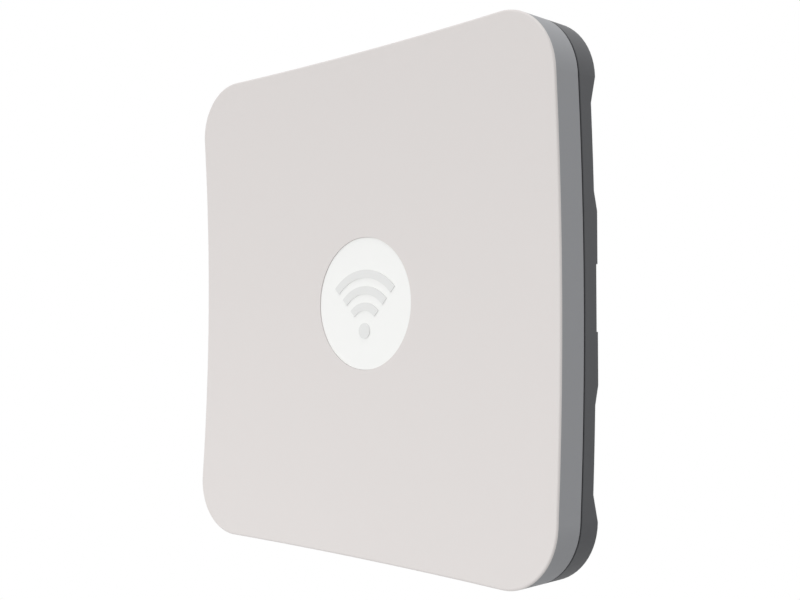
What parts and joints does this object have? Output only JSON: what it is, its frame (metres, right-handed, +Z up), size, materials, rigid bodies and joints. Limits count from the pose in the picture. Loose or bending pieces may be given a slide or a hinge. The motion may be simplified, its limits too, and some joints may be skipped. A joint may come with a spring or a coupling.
{
  "type": "ceiling access point",
  "caption": "Square wireless access point with rounded corners, a dished off-white face over grey sides, and a steel keyhole bracket that holds it to a ceiling or wall.",
  "frame": {"origin": "centre of the bracket's fixing pattern, on the plane of the ceiling or wall", "axes": "stored upright, as on a wall: -Y is the way the face looks, +Y points into the wall or ceiling, +X is right as seen from the front and +Z is up the face"},
  "size_m": [0.22, 0.0269, 0.22],
  "materials": {
    "cover_white": "fine matt moulded plastic, off-white",
    "badge_white": "satin, bright white",
    "emblem_grey": "satin, light grey",
    "frame_grey": "matt moulded plastic, mid grey",
    "housing_grey": "matt moulded plastic, dark grey",
    "rubber": "soft black rubber",
    "steel": "zinc-plated sheet steel",
    "screw_steel": "zinc-plated screws",
    "brass": "knurled brass",
    "label": "blank printed-film label",
    "board_green": "solder-masked glass-fibre board",
    "chip_black": "black epoxy",
    "tin": "tinned steel cans",
    "pad_grey": "soft thermal pad",
    "aluminium": "plain aluminium sheet",
    "jack_black": "black moulded plastic",
    "gold": "gold-plated contacts",
    "button_dark": "black moulded plastic",
    "clear": "clear moulded plastic",
    "led_white": "white lamp body",
    "copper": "copper foil",
    "capacitor": "aluminium can",
    "ferrite": "grey ferrite"
  },
  "bodies": {
    "bracket": {"mounting_bracket": "steel"},
    "access_point": {"front_cover": "cover_white", "badge_plate": "badge_white", "badge_emblem": "emblem_grey", "side_frame": "frame_grey", "perimeter_gasket": "rubber", "rear_housing": "housing_grey", "port_cover_hinge_pins": "screw_steel", "cable_grommet": "rubber", "foot_pads": "rubber", "housing_screws": "screw_steel", "keyhole_studs": "screw_steel", "ground_screw": "brass", "rear_label": "label", "threaded_inserts": "brass", "main_board": "board_green", "board_screws": "screw_steel", "processor": "chip_black", "memory_chips": "chip_black", "rf_shields": "tin", "radio_chips": "chip_black", "thermal_pad": "pad_grey", "heat_spreader": "aluminium", "lan_magnetics": "chip_black", "capacitors": "capacitor", "power_inductors": "ferrite", "ethernet_jack": "jack_black", "ethernet_contacts": "gold", "power_jack": "jack_black", "power_jack_pin": "gold", "button_switches": "jack_black", "light_pipes": "clear", "status_leds": "led_white", "antenna_plate": "aluminium", "antenna_plate_screws": "screw_steel", "antenna_patches": "copper", "antenna_spacers": "jack_black", "antenna_feed_pins": "gold"},
    "port_door": {"port_cover": "housing_grey"},
    "mode_push": {"mode_button": "button_dark"},
    "reset_push": {"reset_button": "button_dark"}
  },
  "joints": [
    {"name": "lift_off_bracket", "type": "slide", "parent": "bracket", "child": "access_point", "axis": [0, 0, 1], "range_m": [0, 0.01]},
    {"name": "port_cover_hinge", "type": "hinge", "parent": "access_point", "child": "port_door", "pos_m": [0, -0.0064, -0.101], "axis": [-1, 0, 0], "range_deg": [0, 95]},
    {"name": "mode_button_press", "type": "slide", "parent": "access_point", "child": "mode_push", "axis": [0, 0, 1], "range_m": [0, 0.0008], "stiffness_N_per_m": 600, "springref_m": -0.0005},
    {"name": "reset_button_press", "type": "slide", "parent": "access_point", "child": "reset_push", "axis": [0, 0, 1], "range_m": [0, 0.0008], "stiffness_N_per_m": 600, "springref_m": -0.0005}
  ]
}
